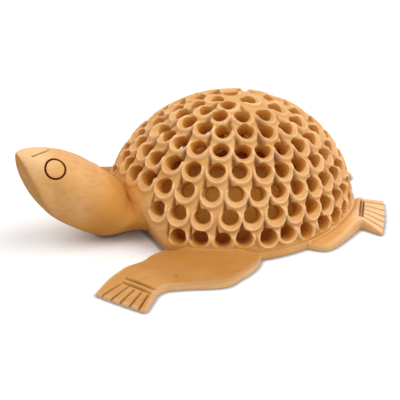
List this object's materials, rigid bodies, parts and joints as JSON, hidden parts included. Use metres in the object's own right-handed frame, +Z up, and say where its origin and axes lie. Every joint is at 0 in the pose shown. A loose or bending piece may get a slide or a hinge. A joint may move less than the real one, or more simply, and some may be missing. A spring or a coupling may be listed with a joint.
{
  "type": "carved wooden turtle figurine",
  "caption": "Carved wooden turtle ornament with a hollow domed shell pierced all over in a scale lattice, raised smooth head and flat paddle legs.",
  "frame": {"origin": "on the ground under the middle of the shell, at the centre of the belly plate's flat underside", "axes": "+Z up, the head points to -Y, the turtle's left side is +X"},
  "size_m": [0.1385, 0.1511, 0.049],
  "materials": {
    "pale_wood": "hand carved, lightly waxed"
  },
  "bodies": {
    "root": {"shell": "pale_wood", "belly_plate": "pale_wood", "head": "pale_wood", "front_left_leg": "pale_wood", "front_right_leg": "pale_wood", "rear_left_leg": "pale_wood", "rear_right_leg": "pale_wood", "tail": "pale_wood"}
  },
  "joints": []
}
